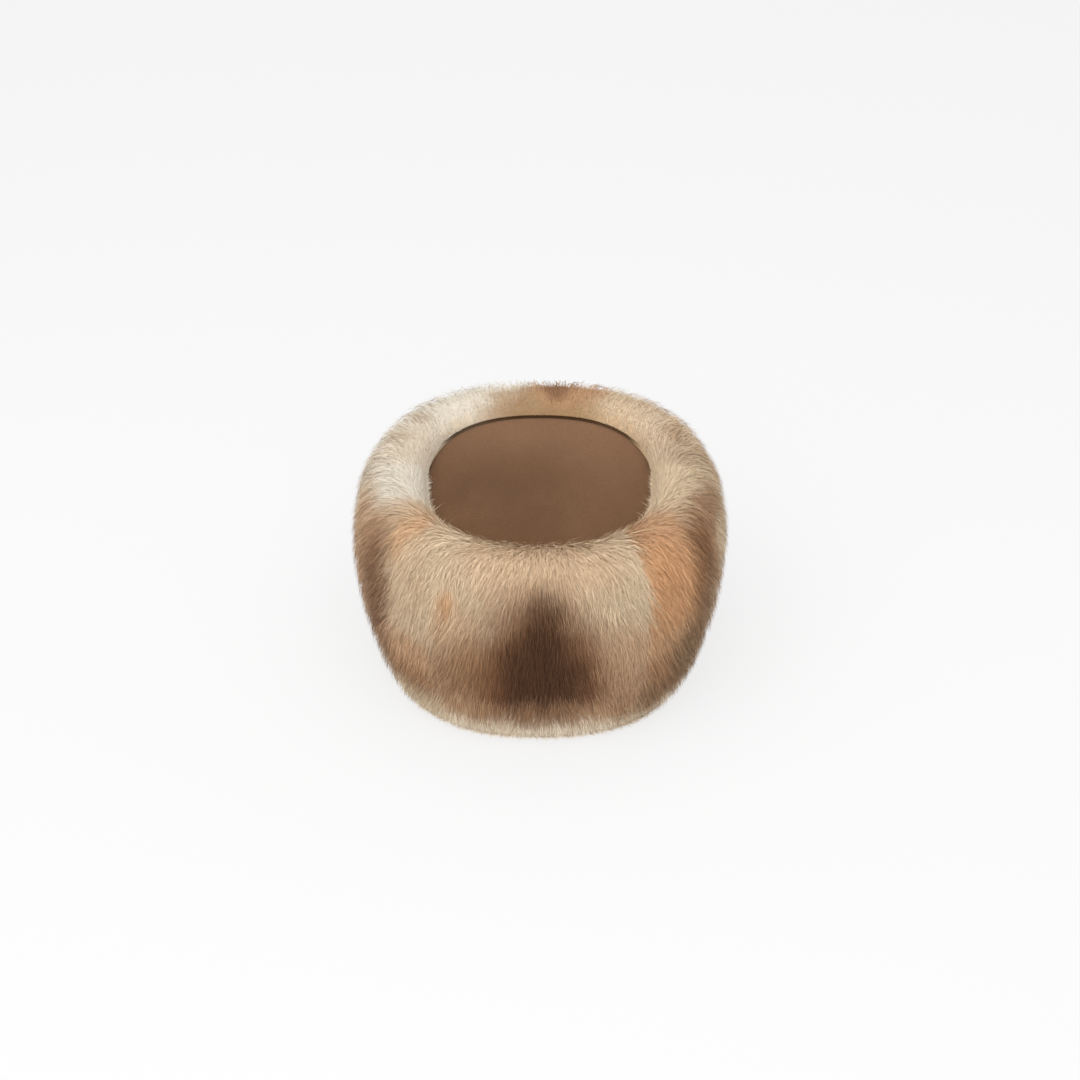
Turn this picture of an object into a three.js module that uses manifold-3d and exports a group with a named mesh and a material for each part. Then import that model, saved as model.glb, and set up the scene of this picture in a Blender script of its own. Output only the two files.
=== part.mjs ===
// A cossack hat: six fur pelts sewn side by side into a deep oval wall that flares upwards and
// folds in at the top, closed by a flat suede top that lies lower than the fur around it.
// Millimetres, +Z up. The hat stands on its rim at z = 0, centred on the Z axis, its front facing -Y.
// Every level outline is the same rounded oval, given by its half width.
// Azimuths are in radians, 0 at the front and positive towards +X.

import * as THREE from "three";
import { mergeVertices } from "three/addons/utils/BufferGeometryUtils.js";
import Module from "manifold-3d";

const wasm = await Module();
wasm.setup();

// Driving dimensions
const OVAL_LONGER = 12; // half depth less half width
const OVAL_POWER = 2.33; // 2 is an ellipse, and more is squarer
const RIM_HALF_WIDTH = 83; // inside the rim, for a 57 cm head
const RIM_THICKNESS = 4.5; // the pelt's skin and the roots of its fur, turned at the rim
const WALL_FLARE = 5; // how much wider the inside is at its widest than at the rim
const TOP_HALF_WIDTH = 76; // suede top
const TOP_HEIGHT = 126.5; // where the suede meets the fur
const TOP_THICKNESS = 1.8;
const TOP_RISE = 4; // how far its middle stands above its edge
const TOP_SEAT = 3; // how far the pelts reach under its edge
const FUR_HEM_HALF_WIDTH = 96;
const FUR_WIDEST_HALF_WIDTH = 122;
const FUR_WIDEST_HEIGHT = 96;
const FUR_RIDGE_HALF_WIDTH = 92;
const FUR_RIDGE_HEIGHT = 143;
const FUR_HEM_HEIGHT = 2;
const PELT_COUNT = 6;
const SEAM_GAP = 0.3; // between two pelts, and between a pelt and the suede
const SEAM_DIP = 2.2; // how far the fur sinks where two pelts meet
const SEAM_DIP_REACH = 0.16; // share of half a pelt over which it sinks
const FLOOR_CLEARANCE = 0.2; // of the lowest tips of the fur

// The superellipse power and the steps of the fur's three curves: from the suede up to the ridge,
// from the ridge out to the widest place, and from there down to the hem.
const INNER_CURVE = { power: 2, steps: 12 };
const SHOULDER_CURVE = { power: 2.27, steps: 24 };
const SIDE_CURVE = { power: 1.51, steps: 36 };

const PELT_ANGLE = (2 * Math.PI) / PELT_COUNT;
const CUT_ALLOWANCE = 0.02; // radians that a pelt is made wider by before its seams are cut
const PROBE_STEP = 1; // how far apart along the fur its slope is taken
const PROBE_TURN = 0.01; // and how far apart round it, in radians

// The six pelts, in order from the front towards +X, with the main colour of each.
const PELTS = [
  { name: "pelt_front", colour: 0xb59a7a },
  { name: "pelt_front_right", colour: 0xb38a63 },
  { name: "pelt_back_right", colour: 0xb8a184 },
  { name: "pelt_back", colour: 0xa98a68 },
  { name: "pelt_back_left", colour: 0xc8bca5 },
  { name: "pelt_front_left", colour: 0xa98360 },
];

// The flesh side of a pelt from the rim up to the suede, as half width and height.
const INNER_WALL = [
  { half: RIM_HALF_WIDTH, z: 0 },
  { half: RIM_HALF_WIDTH + 0.55 * WALL_FLARE, z: 34 },
  { half: RIM_HALF_WIDTH + 0.9 * WALL_FLARE, z: 66 },
  { half: RIM_HALF_WIDTH + WALL_FLARE, z: 92 },
  { half: RIM_HALF_WIDTH + 0.7 * WALL_FLARE, z: 108 },
  { half: RIM_HALF_WIDTH, z: 118 },
  { half: TOP_HALF_WIDTH - TOP_SEAT, z: TOP_HEIGHT - TOP_THICKNESS - SEAM_GAP },
];

// Rows of locks, from the suede over the ridge and down to the hem. start is how far along the
// fur the roots lie, length is negative where the locks lean in over the suede, and lift is how
// far the tips stand off the fur's face.
const LOCK_ROWS = [
  { start: 12, length: -12, across: 4, lift: 1.6 },
  { start: 11, length: 38, across: 5, lift: 2.0 },
  { start: 38, length: 40, across: 5, lift: 1.6 },
  { start: 66, length: 42, across: 5, lift: 1.6 },
  { start: 95, length: 42, across: 5, lift: 1.6 },
  { start: 123, length: 40, across: 5, lift: 1.6 },
  { start: 150, length: 31, across: 4, lift: 1.2 },
];

// A lock's cross-sections from root to tip: at is the share of its length and wide of its width.
// Its two edges and the ridge between them have their heights above the fur's face.
const LOCK_SECTIONS = [
  { at: 0.0, wide: 0.7, edge: -5.6, ridge: -3.2 },
  { at: 0.5, wide: 1.0, edge: -5.2, ridge: 0.8 },
];
const LOCK_KEEL = -5.0; // height of the edge below the tip
const LOCK_OVERLAP = 0.76; // half width of a lock as a share of the distance between locks
const LOCK_SWAY = 0.07; // radians that a tip may lean to either side
const LOCK_LENGTH_SPREAD = 0.1; // share by which a lock may be longer or shorter than its row's
const LOCK_BED = 2.8; // how far the fur between the locks lies under the face
const LOCK_STAGGER = 0.2; // how far one row stands beside the next, as a share of that distance
const LOCK_SEEDS = { pelt: 97, row: 13 }; // how far apart the seeds of two pelts, or two rows, are

// The suede's rings of corners, as shares of the way out from its middle.
const TOP_SIDES = 36;
const TOP_RINGS = [0.4, 0.75, 0.92, 1];
const TOP_DOME_POWER = 3; // 2 is round, and more is flatter in the middle

// Where the body of the fur has its edges, as distances along its face, and the share of a pelt's
// half angle where it has its cross-sections.
const BODY_DISTANCES = [0, 9, 17, 24.5, 35, 46, 58, 71, 88, 110, 135, 160, 185];
const BODY_SHARES = [-1, -0.8, -0.45, 0, 0.45, 0.8, 1];

// A repeatable number from 0 to 1 for each whole seed.
function scatter(seed) {
  const turned = Math.sin(seed * 12.9898 + 4.1) * 43758.5453;
  return turned - Math.floor(turned);
}

// The distance from the Z axis to the oval of this half width, at an azimuth.
function ovalRadius(half, azimuth) {
  const across = Math.abs(Math.sin(azimuth) / half) ** OVAL_POWER;
  const along = Math.abs(Math.cos(azimuth) / (half + OVAL_LONGER)) ** OVAL_POWER;
  return (across + along) ** (-1 / OVAL_POWER);
}

function pointAt(half, z, azimuth) {
  const radius = ovalRadius(half, azimuth);
  return new THREE.Vector3(radius * Math.sin(azimuth), -radius * Math.cos(azimuth), z);
}

// A quarter of a superellipse from (centre.half + reach.half, centre.z) to (centre.half, centre.z + reach.z).
function quarter(centre, reach, { power, steps }) {
  return Array.from({ length: steps + 1 }, (_, i) => {
    const turn = (Math.PI / 2) * (i / steps);
    return {
      half: centre.half + reach.half * Math.cos(turn) ** (2 / power),
      z: centre.z + reach.z * Math.sin(turn) ** (2 / power),
    };
  });
}

// The face of the fur from the suede, over the ridge and down to the hem, walked by distance.
const FUR_LINE = (() => {
  const inner = quarter(
    { half: FUR_RIDGE_HALF_WIDTH, z: TOP_HEIGHT },
    { half: TOP_HALF_WIDTH + SEAM_GAP - FUR_RIDGE_HALF_WIDTH, z: FUR_RIDGE_HEIGHT - TOP_HEIGHT },
    INNER_CURVE,
  );
  const shoulder = quarter(
    { half: FUR_RIDGE_HALF_WIDTH, z: FUR_WIDEST_HEIGHT },
    { half: FUR_WIDEST_HALF_WIDTH - FUR_RIDGE_HALF_WIDTH, z: FUR_RIDGE_HEIGHT - FUR_WIDEST_HEIGHT },
    SHOULDER_CURVE,
  ).reverse();
  const side = quarter(
    { half: FUR_HEM_HALF_WIDTH, z: FUR_WIDEST_HEIGHT },
    { half: FUR_WIDEST_HALF_WIDTH - FUR_HEM_HALF_WIDTH, z: FUR_HEM_HEIGHT - FUR_WIDEST_HEIGHT },
    SIDE_CURVE,
  );
  const points = [...inner, ...shoulder.slice(1), ...side.slice(1)];
  const walked = [0];
  for (let i = 1; i < points.length; i++) {
    const step = Math.hypot(points[i].half - points[i - 1].half, points[i].z - points[i - 1].z);
    walked.push(walked[i - 1] + step);
  }
  return { points, walked, length: walked[walked.length - 1] };
})();

function outlineAt(distance) {
  const { points, walked, length } = FUR_LINE;
  const along = Math.min(Math.max(distance, 0), length);
  let i = 1;
  while (i < walked.length - 1 && walked[i] < along) i++;
  const share = (along - walked[i - 1]) / (walked[i] - walked[i - 1]);
  const [before, after] = [points[i - 1], points[i]];
  return {
    half: before.half + share * (after.half - before.half),
    z: before.z + share * (after.z - before.z),
  };
}

// How far the fur has sunk at an azimuth, which is SEAM_DIP at a seam and nothing between seams.
function seamDip(azimuth) {
  const fromMiddle = Math.abs(azimuth / PELT_ANGLE - Math.round(azimuth / PELT_ANGLE));
  const toSeam = 1 - 2 * fromMiddle;
  return SEAM_DIP * Math.exp(-((toSeam / SEAM_DIP_REACH) ** 2));
}

function furPoint(distance, azimuth) {
  const { half, z } = outlineAt(distance);
  return pointAt(half, z, azimuth);
}

// A place on the fur's face, with the ways sideways and outwards there.
function furFrame(distance, azimuth) {
  const place = furPoint(distance, azimuth);
  const before = furPoint(distance - PROBE_STEP, azimuth);
  const down = furPoint(distance + PROBE_STEP, azimuth).sub(before).normalize();
  const side = furPoint(distance, azimuth + PROBE_TURN).sub(place).normalize();
  const out = new THREE.Vector3().crossVectors(down, side).normalize();
  return { place: place.addScaledVector(out, -seamDip(azimuth)), side, out };
}

// A closed body from rings of points, each ring the same length and turning anticlockwise as seen
// from the last one. fill is the triangles that close the last ring, which also close the first.
function loftGeometry(rings, fill) {
  const size = rings[0].length;
  const index = [];
  for (let r = 0; r + 1 < rings.length; r++) {
    for (let i = 0; i < size; i++) {
      const a = r * size + i;
      const b = r * size + ((i + 1) % size);
      index.push(a, b, a + size, b, b + size, a + size);
    }
  }
  const last = (rings.length - 1) * size;
  for (const [a, b, c] of fill) index.push(c, b, a, last + a, last + b, last + c);
  return indexedGeometry(rings.flat(), index);
}

function indexedGeometry(points, index) {
  const geometry = new THREE.BufferGeometry();
  const numbers = points.flatMap((p) => [p.x, p.y, p.z]);
  geometry.setAttribute("position", new THREE.Float32BufferAttribute(numbers, 3));
  geometry.setIndex(index);
  return geometry;
}

function solidOf(geometry) {
  const bare = geometry.clone();
  bare.deleteAttribute("normal");
  bare.deleteAttribute("uv");
  const merged = mergeVertices(bare, 1e-4);
  const vertProperties = merged.getAttribute("position").array;
  const triVerts = new Uint32Array(merged.index.array);
  return new wasm.Manifold(new wasm.Mesh({ numProp: 3, vertProperties, triVerts }));
}

function geometryOf(solid) {
  const { vertProperties, triVerts } = solid.getMesh();
  const geometry = new THREE.BufferGeometry();
  geometry.setAttribute("position", new THREE.BufferAttribute(vertProperties, 3));
  geometry.setIndex(new THREE.BufferAttribute(triVerts, 1));
  const flat = geometry.toNonIndexed();
  flat.computeVertexNormals();
  return flat;
}

// A pelt's skin and the body of its fur, before the locks, a little wider than between its seams.
function peltBody(middle) {
  const rim = { half: RIM_HALF_WIDTH + RIM_THICKNESS, z: 0 };
  const hem = { half: (rim.half + FUR_HEM_HALF_WIDTH - LOCK_BED) / 2, z: FUR_HEM_HEIGHT / 3 };
  const rings = BODY_SHARES.map((share) => {
    const azimuth = middle + share * (PELT_ANGLE / 2 + CUT_ALLOWANCE);
    const fur = BODY_DISTANCES.map((distance) => {
      if (distance === 0) return furPoint(0, azimuth);
      const { place, out } = furFrame(distance, azimuth);
      return place.addScaledVector(out, -LOCK_BED);
    });
    const wall = (corners) => corners.map(({ half, z }) => pointAt(half, z, azimuth));
    return [...wall(INNER_WALL), ...fur, ...wall([hem, rim])];
  });
  const outline = rings[0].map(({ x, y, z }) => new THREE.Vector2(z, Math.hypot(x, y)));
  return loftGeometry(rings, THREE.ShapeUtils.triangulateShape(outline, []));
}

// One pointed lock, a three-sided blade with its edges under the fur's face and its tip above it.
function lockGeometry(row, azimuth, spacing, seed) {
  const length = row.length * (1 + LOCK_LENGTH_SPREAD * (2 * scatter(seed) - 1));
  const sway = LOCK_SWAY * (2 * scatter(seed + 0.5) - 1);
  const corner = (at, across, outwards) => {
    const { place, side, out } = furFrame(row.start + at * length, azimuth + at * at * sway);
    place.addScaledVector(side, across).addScaledVector(out, outwards);
    place.z = Math.max(place.z, FLOOR_CLEARANCE);
    return place;
  };
  const rings = LOCK_SECTIONS.map(({ at, wide, edge, ridge }) => {
    const across = wide * LOCK_OVERLAP * spacing;
    return [corner(at, -across, edge), corner(at, across, edge), corner(at, 0, ridge)];
  });
  const keel = corner(1, 0, LOCK_KEEL);
  rings.push([keel, keel.clone(), corner(1, 0, row.lift)]);
  return loftGeometry(row.length < 0 ? rings.map((ring) => ring.reverse()) : rings, [[0, 1, 2]]);
}

// The space between the cuts of a pelt's two seams, each half a gap short of the seam itself.
function seamWedge(middle) {
  const apex = SEAM_GAP / 2 / Math.sin(PELT_ANGLE / 2);
  const reach = 2 * FUR_WIDEST_HALF_WIDTH;
  const corner = (azimuth, radius) => [
    apex * Math.sin(middle) + radius * Math.sin(azimuth),
    -apex * Math.cos(middle) - radius * Math.cos(azimuth),
  ];
  const shape = new THREE.Shape();
  shape.moveTo(...corner(middle, 0));
  shape.lineTo(...corner(middle - PELT_ANGLE / 2, reach));
  shape.lineTo(...corner(middle + PELT_ANGLE / 2, reach));
  shape.closePath();
  const wedge = new THREE.ExtrudeGeometry(shape, { depth: 2 * FUR_RIDGE_HEIGHT, bevelEnabled: false });
  return wedge.translate(0, 0, -FUR_RIDGE_HEIGHT / 2);
}

function peltMesh({ name, colour }, number) {
  const middle = number * PELT_ANGLE;
  let solid = solidOf(peltBody(middle));
  LOCK_ROWS.forEach((row, rowNumber) => {
    const radius = ovalRadius(outlineAt(row.start).half, middle);
    const spacing = (PELT_ANGLE * radius) / row.across;
    const stagger = (rowNumber + number) % 2 ? LOCK_STAGGER : -LOCK_STAGGER;
    for (let i = 0; i < row.across; i++) {
      const seed = LOCK_SEEDS.pelt * number + LOCK_SEEDS.row * rowNumber + i;
      const share = (i + 0.5 + stagger) / row.across - 0.5;
      const lock = lockGeometry(row, middle + share * PELT_ANGLE, spacing, seed);
      solid = solid.add(solidOf(lock));
    }
  });
  solid = solid.intersect(solidOf(seamWedge(middle))).subtract(solidOf(topGeometry(SEAM_GAP)));
  const material = new THREE.MeshStandardMaterial({ color: colour, roughness: 0.9, metalness: 0 });
  const mesh = new THREE.Mesh(geometryOf(solid), material);
  mesh.name = name;
  return mesh;
}

// The suede top: a thin oval plate that domes a little, grown on every side by a margin.
function topGeometry(margin) {
  const ringAt = (share, raised) => {
    const z = TOP_HEIGHT + TOP_RISE * (1 - share ** TOP_DOME_POWER) + raised;
    return Array.from({ length: TOP_SIDES }, (_, i) => {
      const edge = pointAt(TOP_HALF_WIDTH + margin, z, (-2 * Math.PI * i) / TOP_SIDES);
      return new THREE.Vector3(edge.x * share, edge.y * share, z);
    });
  };
  const above = TOP_RINGS.map((share) => ringAt(share, margin));
  const below = TOP_RINGS.map((share) => ringAt(share, -TOP_THICKNESS - margin));
  const rings = [...above, ...below.reverse()];
  const fan = Array.from({ length: TOP_SIDES - 2 }, (_, i) => [0, i + 1, i + 2]);
  return loftGeometry(rings, fan);
}

function topMesh() {
  const material = new THREE.MeshStandardMaterial({ color: 0x7a5b43, roughness: 0.95, metalness: 0 });
  const mesh = new THREE.Mesh(topGeometry(0), material);
  mesh.name = "crown_top";
  return mesh;
}

const hat = new THREE.Group();
hat.name = "cossack_hat";
hat.add(topMesh(), ...PELTS.map(peltMesh));

export default hat;
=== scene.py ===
"""A fur cossack hat: six pelts of long hair round a suede top, on a pale floor in soft studio light.

Laid out as an add-on. Lengths are in metres, +Z is up, the hat's front faces -Y, and azimuths run
from 0 at the front towards +X.
"""

import math
from collections import namedtuple

import bpy
import numpy as np
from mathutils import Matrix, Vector


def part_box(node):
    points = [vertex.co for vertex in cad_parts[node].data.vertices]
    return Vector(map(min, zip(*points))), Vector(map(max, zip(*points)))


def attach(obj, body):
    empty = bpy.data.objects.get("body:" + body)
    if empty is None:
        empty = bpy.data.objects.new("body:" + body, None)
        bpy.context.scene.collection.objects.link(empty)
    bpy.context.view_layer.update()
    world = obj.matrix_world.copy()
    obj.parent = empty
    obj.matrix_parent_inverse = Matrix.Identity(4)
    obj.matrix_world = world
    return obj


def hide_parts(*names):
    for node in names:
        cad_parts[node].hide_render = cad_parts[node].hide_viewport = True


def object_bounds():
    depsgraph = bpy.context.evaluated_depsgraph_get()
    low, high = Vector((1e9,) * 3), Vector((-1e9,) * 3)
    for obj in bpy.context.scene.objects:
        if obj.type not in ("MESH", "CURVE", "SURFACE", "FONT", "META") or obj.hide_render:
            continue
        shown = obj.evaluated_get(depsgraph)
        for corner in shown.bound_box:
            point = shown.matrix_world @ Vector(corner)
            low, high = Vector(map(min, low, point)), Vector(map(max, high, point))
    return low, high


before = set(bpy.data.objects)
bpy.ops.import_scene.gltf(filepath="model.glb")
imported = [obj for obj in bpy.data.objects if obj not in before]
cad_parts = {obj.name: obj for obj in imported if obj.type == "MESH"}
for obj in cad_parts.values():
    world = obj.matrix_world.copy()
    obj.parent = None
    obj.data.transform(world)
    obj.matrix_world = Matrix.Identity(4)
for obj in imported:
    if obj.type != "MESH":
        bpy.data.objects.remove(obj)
CAD_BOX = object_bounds()

bl_info = {
    "name": "Cossack Hat",
    "version": (1, 0, 0),
    "blender": (4, 5, 0),
    "location": "3D View > Sidebar > Cossack Hat",
    "description": "Gives the cossack hat its suede top, skins and fur, and sets its stage",
    "category": "Object",
}

MM = 0.001
TOP_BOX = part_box("crown_top")
TOP_HALF_WIDTH = TOP_BOX[1][0]
OVAL_LONGER = TOP_BOX[1][1] - TOP_HALF_WIDTH
TOP_CROWN_HEIGHT = TOP_BOX[1][2]
WIDEST_HALF_WIDTH = CAD_BOX[1][0]
RIDGE_HEIGHT = CAD_BOX[1][2]

# The solids' top is the tips of their locks, this much over the fur's face.
LOCKS_OVER_RIDGE = 0.0007
SEAM_HEIGHT = 0.1265

# A soft-edged marking on a pelt. across is degrees from the pelt's middle, down is millimetres from
# the suede, wide and tall are how far it reaches from there, and strength is how full its colour is.
Patch = namedtuple("Patch", "colour across down wide tall strength")
Pelt = namedtuple("Pelt", "name base patches")

# The pelts in order from the front towards +X. Later patches lie over earlier ones. The palest patches
# at the hems are partly the hems' own pale tips and partly painted light, standing for the light that
# the pale floor throws up under them.
PELTS = (
    Pelt("front", "cream", (
        Patch("tan", 0, 38, 26, 26, 0.35),
        Patch("olive", 0, 14, 30, 15, 0.28),
        Patch("orange", -25, 92, 8, 24, 0.3),
        Patch("tan", 22, 124, 16, 40, 0.65),
        Patch("light_brown", 24, 148, 16, 30, 0.3),
        Patch("light_brown", 29, 158, 8, 14, 0.45),
        Patch("light_brown", -18, 134, 20, 35, 0.82),
        Patch("light_brown", -1, 118, 20, 62, 0.78),
        Patch("brown", 0, 120, 15, 60, 0.9),
        Patch("brown", 0, 138, 20, 28, 0.6),
        Patch("dark_brown", 0, 126, 12, 46, 0.85),
        Patch("dark_brown", 1, 84, 5, 30, 0.6),
        Patch("orange", -27, 70, 2.5, 9, 0.7),
        Patch("light_brown", -27.5, 84, 1.3, 16, 0.4),
        Patch("tan", 0, 160, 40, 14, 0.45),
        Patch("white_hem_and_bounce_light", -4, 190, 40, 26, 1.0),
        Patch("light_brown", -2, 162, 11, 11, 0.5),
    )),
    Pelt("front_right", "cream", (
        Patch("tan", -20, 24, 16, 16, 0.8),
        Patch("tan", -18, 60, 20, 40, 0.9),
        Patch("orange", -20, 84, 14, 54, 0.85),
        Patch("tan", -16, 124, 16, 30, 0.9),
        Patch("light_brown", -22, 146, 14, 26, 0.7),
        Patch("light_brown", 9, 50, 18, 15, 0.75),
        Patch("light_brown", -3, 86, 10, 44, 0.65),
        Patch("brown", -5, 80, 6, 36, 0.45),
        Patch("olive", -8, 136, 13, 34, 0.9),
        Patch("olive", 14, 130, 14, 40, 0.3),
        Patch("brown", -18, 160, 14, 14, 0.45),
        Patch("white_hem_and_bounce_light", 0, 196, 36, 20, 0.9),
    )),
    Pelt("back_right", "cream", (
        Patch("ivory", -2, 20, 26, 14, 0.2),
        Patch("tan", 2, 72, 34, 26, 0.5),
        Patch("olive", -22, 30, 13, 18, 0.35),
        Patch("tan", 4, 22, 30, 26, 0.15),
        Patch("light_brown", -5, 29, 7, 6, 0.6),
        Patch("light_brown", 0, 118, 18, 56, 0.8),
        Patch("brown", 0, 122, 9, 46, 0.9),
        Patch("cream", 0, 188, 36, 14, 0.7),
    )),
    Pelt("back", "cream", (
        Patch("ivory", 26, 22, 26, 34, 0.95),
        Patch("gold", -2, 6, 26, 20, 0.95),
        Patch("tan", -10, 26, 15, 18, 0.9),
        Patch("light_brown", -8, 20, 20, 14, 0.3),
        Patch("brown", -6, 25, 6, 11, 0.72),
        Patch("tan", -16, 96, 18, 56, 0.7),
        Patch("light_brown", 8, 124, 22, 50, 0.8),
        Patch("brown", 0, 120, 12, 54, 0.9),
        Patch("dark_brown", 0, 128, 8, 42, 0.9),
        Patch("cream", 0, 188, 36, 14, 0.8),
    )),
    Pelt("back_left", "ivory", (
        Patch("gold", -9, 29, 3.5, 10, 0.5),
        Patch("gold", 8, 34, 3.5, 11, 0.5),
        Patch("cream", 14, 18, 20, 30, 0.35),
        Patch("cream", 0, 84, 40, 30, 0.9),
        Patch("cream", 0, 140, 46, 60, 0.85),
        Patch("tan", -2, 124, 24, 52, 0.9),
        Patch("brown", 0, 130, 10, 44, 0.9),
        Patch("cream", 0, 188, 36, 16, 0.8),
    )),
    Pelt("front_left", "cream", (
        Patch("ivory", -20, 22, 20, 30, 1.0),
        Patch("tan", 18, 76, 12, 44, 0.15),
        Patch("tan", 8, 30, 12, 26, 0.35),
        Patch("orange", 12, 36, 5, 20, 0.4),
        Patch("tan", -8, 58, 14, 16, 0.6),
        Patch("light_brown", 0, 96, 13, 52, 0.68),
        Patch("brown", 5, 90, 7, 46, 0.64),
        Patch("brown", 2, 134, 10, 30, 0.5),
        Patch("tan", -18, 104, 14, 50, 0.5),
        Patch("tan", 20, 128, 14, 22, 0.9),
        Patch("light_brown", 18, 146, 16, 14, 0.7),
        Patch("white_hem_and_bounce_light", 4, 196, 36, 20, 1.0),
    )),
)
PELT_DEGREES = 360 / len(PELTS)

# How the hair lies by distance from the suede, in millimetres: the angle that it leans over, in
# degrees from upright, the way that it leans, in degrees from straight down the pelt to 180 for
# straight at the suede, and how far its tips stand off the fur's face, in millimetres.
Lay = namedtuple("Lay", "down lean turn lift")
HAIR_LAY = (
    Lay(0, 60, 150, 1.4),
    Lay(4, 62, 136, 1.4),
    Lay(9, 65, 106, 1.2),
    Lay(14, 67, 74, 0.6),
    Lay(20, 68, 46, 0.0),
    Lay(28, 68, 20, -0.4),
    Lay(45, 68, 0, -0.6),
    Lay(70, 68, 0, -0.6),
    Lay(130, 68, 0, -0.6),
    Lay(160, 63, 0, -0.2),
    Lay(188, 54, 0, 0.6),
)

# The hair round the suede parts at the front over this half angle, and lies along both sides from
# there. PARTING_MIX is how far single hairs stray in it. A hair there lies fully over if its way, mixed
# of along and beside, is at least LEVEL_LEAST long, and stands up more if it is shorter.
PARTING = math.radians(18)
PARTING_MIX = 0.4
LEVEL_LEAST = 0.3

# Angles in degrees: how far single hairs stray from HAIR_LAY, the least and most that they lean, and
# the turn from which they stray fully.
LEAN_STRAY = 6
LEAN_LEAST = 12
LEAN_MOST = 75
TURN_STRAY = 18
TURN_FULL = 60

# At the back the hair beside the suede stands up by this share of its lean, out to SEAM_REACH metres
# from it. The back begins at the hat's sides, and the higher BACK_GAIN is, the sooner it is full.
SEAM_UPRIGHT = 0.55
SEAM_REACH = 0.010
BACK_GAIN = 1.6

# A hair's own height in its coat counts for SHORT_SHARE beside the suede, and for one share more over
# LENGTHEN_OVER metres down, up to all of it. Tips stand at least RISE_LEAST over the bed, and then the
# whole hair is sunk by ROOT_SINK.
SHORT_SHARE = 0.35
LENGTHEN_OVER = 0.035
RISE_LEAST = 0.0024
ROOT_SINK = 0.0004

# The sweep away from the front starts this far down and is full SWEEP_FADE metres further on. The
# waves in the hair are FLOW_LENGTH metres long. The shares and metres after them are how far hairs
# lean sideways with the waves and by chance.
SWEEP_START = 0.026
SWEEP_FADE = 0.035
FLOW_LENGTH = 0.055
FLOW_SHARE = 0.22
FLOW_STRAY = 0.12
SIDE_STRAY = 0.0007

# A hair's line bends by these powers of the way along it, and it has the marking that lies MARKED of
# the way along. A hair that stands DARK_TIP metres over HAIR_LAY's height has the start of a dark
# tip, and all of it DARK_TIP_SPAN further. No hair reaches below LOWEST.
BOW = 1.15
RISE_BEND = 1.7
MARKED = 0.5
DARK_TIP = 0.0004
DARK_TIP_SPAN = 0.0022
LOWEST = 0.0004

# Roots begin and end this many metres short of the face's two ends. The hair is sown closer where it
# leans less, by this power.
FIRST_ROOT = 0.0004
LAST_ROOT = 0.002
ROOT_STATIONS = 400
SOWING = 0.5

# Tufts are this many times longer than wide, and lie off their grid by a number that comes from
# their own place in it. A hair is drawn in by PULL_LEAST to all of the fur's clump, and is as wide as
# its coat says, times a number in WIDTH_SPREAD.
TUFT_LONGER = 2
PLACE_MIX = np.array([12.9898, 78.233])
PLACE_SCALE = 43758.5453
PULL_LEAST = 0.3
WIDTH_SPREAD = (0.75, 1.2)

# How far the markings' edges are blurred from hair to hair, in metres down and in degrees across.
# The first is less within BLUR_REACH of the suede, down to BLUR_LEAST of itself.
BLUR_DOWN = 0.0016
BLUR_ACROSS = 0.7
BLUR_REACH = 0.012
BLUR_LEAST = 0.15

# A ripple is the sum of this many waves, with lengths between these shares of the one asked for.
RIPPLE_WAVES = 6
RIPPLE_SPREAD = (0.6, 1.6)

# One kind of hair on a pelt. The hairs are strips, turned by up to twist radians to either side about
# their own length, and their tips stand low to high metres off what HAIR_LAY gives. The more the
# skew is over 1, the more of them are low.
Coat = namedtuple("Coat", "count twist width low high skew")

# The two triangles of a strip by corner number, and their places in its cell of the UV map.
STRIP = np.array([(0, 1, 2), (1, 3, 2)])
STRIP_CELL = np.array([((0.5, 0.0), (0.0, 0.5), (1.0, 0.5)), ((0.0, 0.5), (0.5, 1.0), (1.0, 0.5))])


def length_prop(name, description, default, **more):
    """A FloatProperty for a length in metres."""
    return bpy.props.FloatProperty(
        name=name, description=description, default=default, min=0.0, unit="LENGTH", precision=4, **more
    )


def colour_prop(name, description, default):
    """A FloatVectorProperty for a linear colour."""
    return bpy.props.FloatVectorProperty(
        name=name, description=description, default=default, size=3, min=0.0, max=1.0, subtype="COLOR"
    )


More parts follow.
